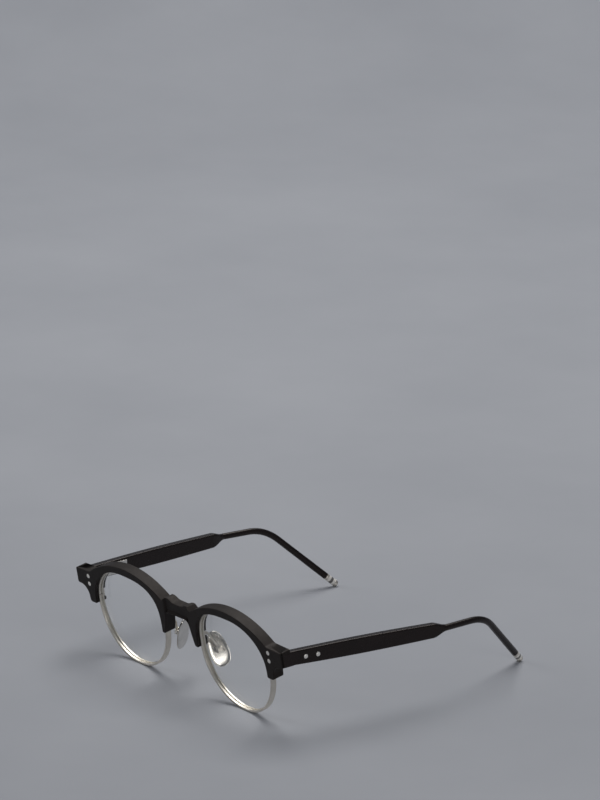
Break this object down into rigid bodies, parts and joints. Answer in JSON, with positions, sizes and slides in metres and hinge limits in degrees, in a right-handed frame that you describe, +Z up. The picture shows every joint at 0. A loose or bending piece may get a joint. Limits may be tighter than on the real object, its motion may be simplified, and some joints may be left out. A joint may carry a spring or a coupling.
{
  "type": "half rim eyeglasses",
  "caption": "Browline eyeglasses: dark acetate brow front and temples, thin metal rims, clear lenses, metal nose pads that rock and temples that fold inwards on riveted hinges.",
  "frame": {"origin": "middle of the bounding box's base, on the surface that the glasses stand on with their temples open", "axes": "+Z up, the front faces -Y, the temples reach back along +Y, the wearer's left is +X"},
  "size_m": [0.1572, 0.1414, 0.0464],
  "materials": {
    "acetate_front": "satin dark acetate",
    "acetate_temple": "polished dark acetate",
    "rim_metal": "satin nickel-coloured metal",
    "pad_metal": "polished edge, satin face",
    "rivet_metal": "polished",
    "hinge_metal": "satin",
    "screw_metal": "satin",
    "core_metal": "plain wire inside the temple",
    "tip_light": "gloss ivory",
    "tip_dark": "gloss grey",
    "lens": "clear"
  },
  "bodies": {
    "front": {"brow_front": "acetate_front", "rim_left": "rim_metal", "rim_right": "rim_metal", "lens_left": "lens", "lens_right": "lens", "rim_lock_left": "rim_metal", "rim_lock_right": "rim_metal", "rim_lock_screw_left": "screw_metal", "rim_lock_screw_right": "screw_metal", "pad_arm_left": "rim_metal", "pad_arm_right": "rim_metal", "pad_screw_left": "screw_metal", "pad_screw_right": "screw_metal", "front_rivets_left": "rivet_metal", "front_rivets_right": "rivet_metal", "front_hinge_left": "hinge_metal", "front_hinge_right": "hinge_metal", "hinge_screw_left": "screw_metal", "hinge_screw_right": "screw_metal"},
    "temple_left": {"temple_left": "acetate_temple", "temple_core_left": "core_metal", "temple_rivets_left": "rivet_metal", "temple_hinge_left": "hinge_metal", "tip_collar_left": "rim_metal", "tip_rings_left": "tip_light", "tip_band_left": "tip_dark", "tip_cap_left": "rim_metal"},
    "temple_right": {"temple_right": "acetate_temple", "temple_core_right": "core_metal", "temple_rivets_right": "rivet_metal", "temple_hinge_right": "hinge_metal", "tip_collar_right": "rim_metal", "tip_rings_right": "tip_light", "tip_band_right": "tip_dark", "tip_cap_right": "rim_metal"},
    "pad_left": {"nose_pad_left": "pad_metal"},
    "pad_right": {"nose_pad_right": "pad_metal"}
  },
  "joints": [
    {"name": "temple_left_fold", "type": "hinge", "parent": "front", "child": "temple_left", "pos_m": [0.0662, -0.06103, 0.0328], "axis": [0, 0, 1], "range_deg": [0, 88]},
    {"name": "temple_right_fold", "type": "hinge", "parent": "front", "child": "temple_right", "pos_m": [-0.0662, -0.06103, 0.0328], "axis": [0, 0, -1], "range_deg": [0, 72]},
    {"name": "pad_left_rock", "type": "hinge", "parent": "front", "child": "pad_left", "pos_m": [0.01426, -0.05643, 0.02], "axis": [0.3078, 0.9104, 0.2765], "range_deg": [-10, 10]},
    {"name": "pad_right_rock", "type": "hinge", "parent": "front", "child": "pad_right", "pos_m": [-0.01426, -0.05643, 0.02], "axis": [-0.3078, 0.9104, 0.2765], "range_deg": [-10, 10]}
  ]
}
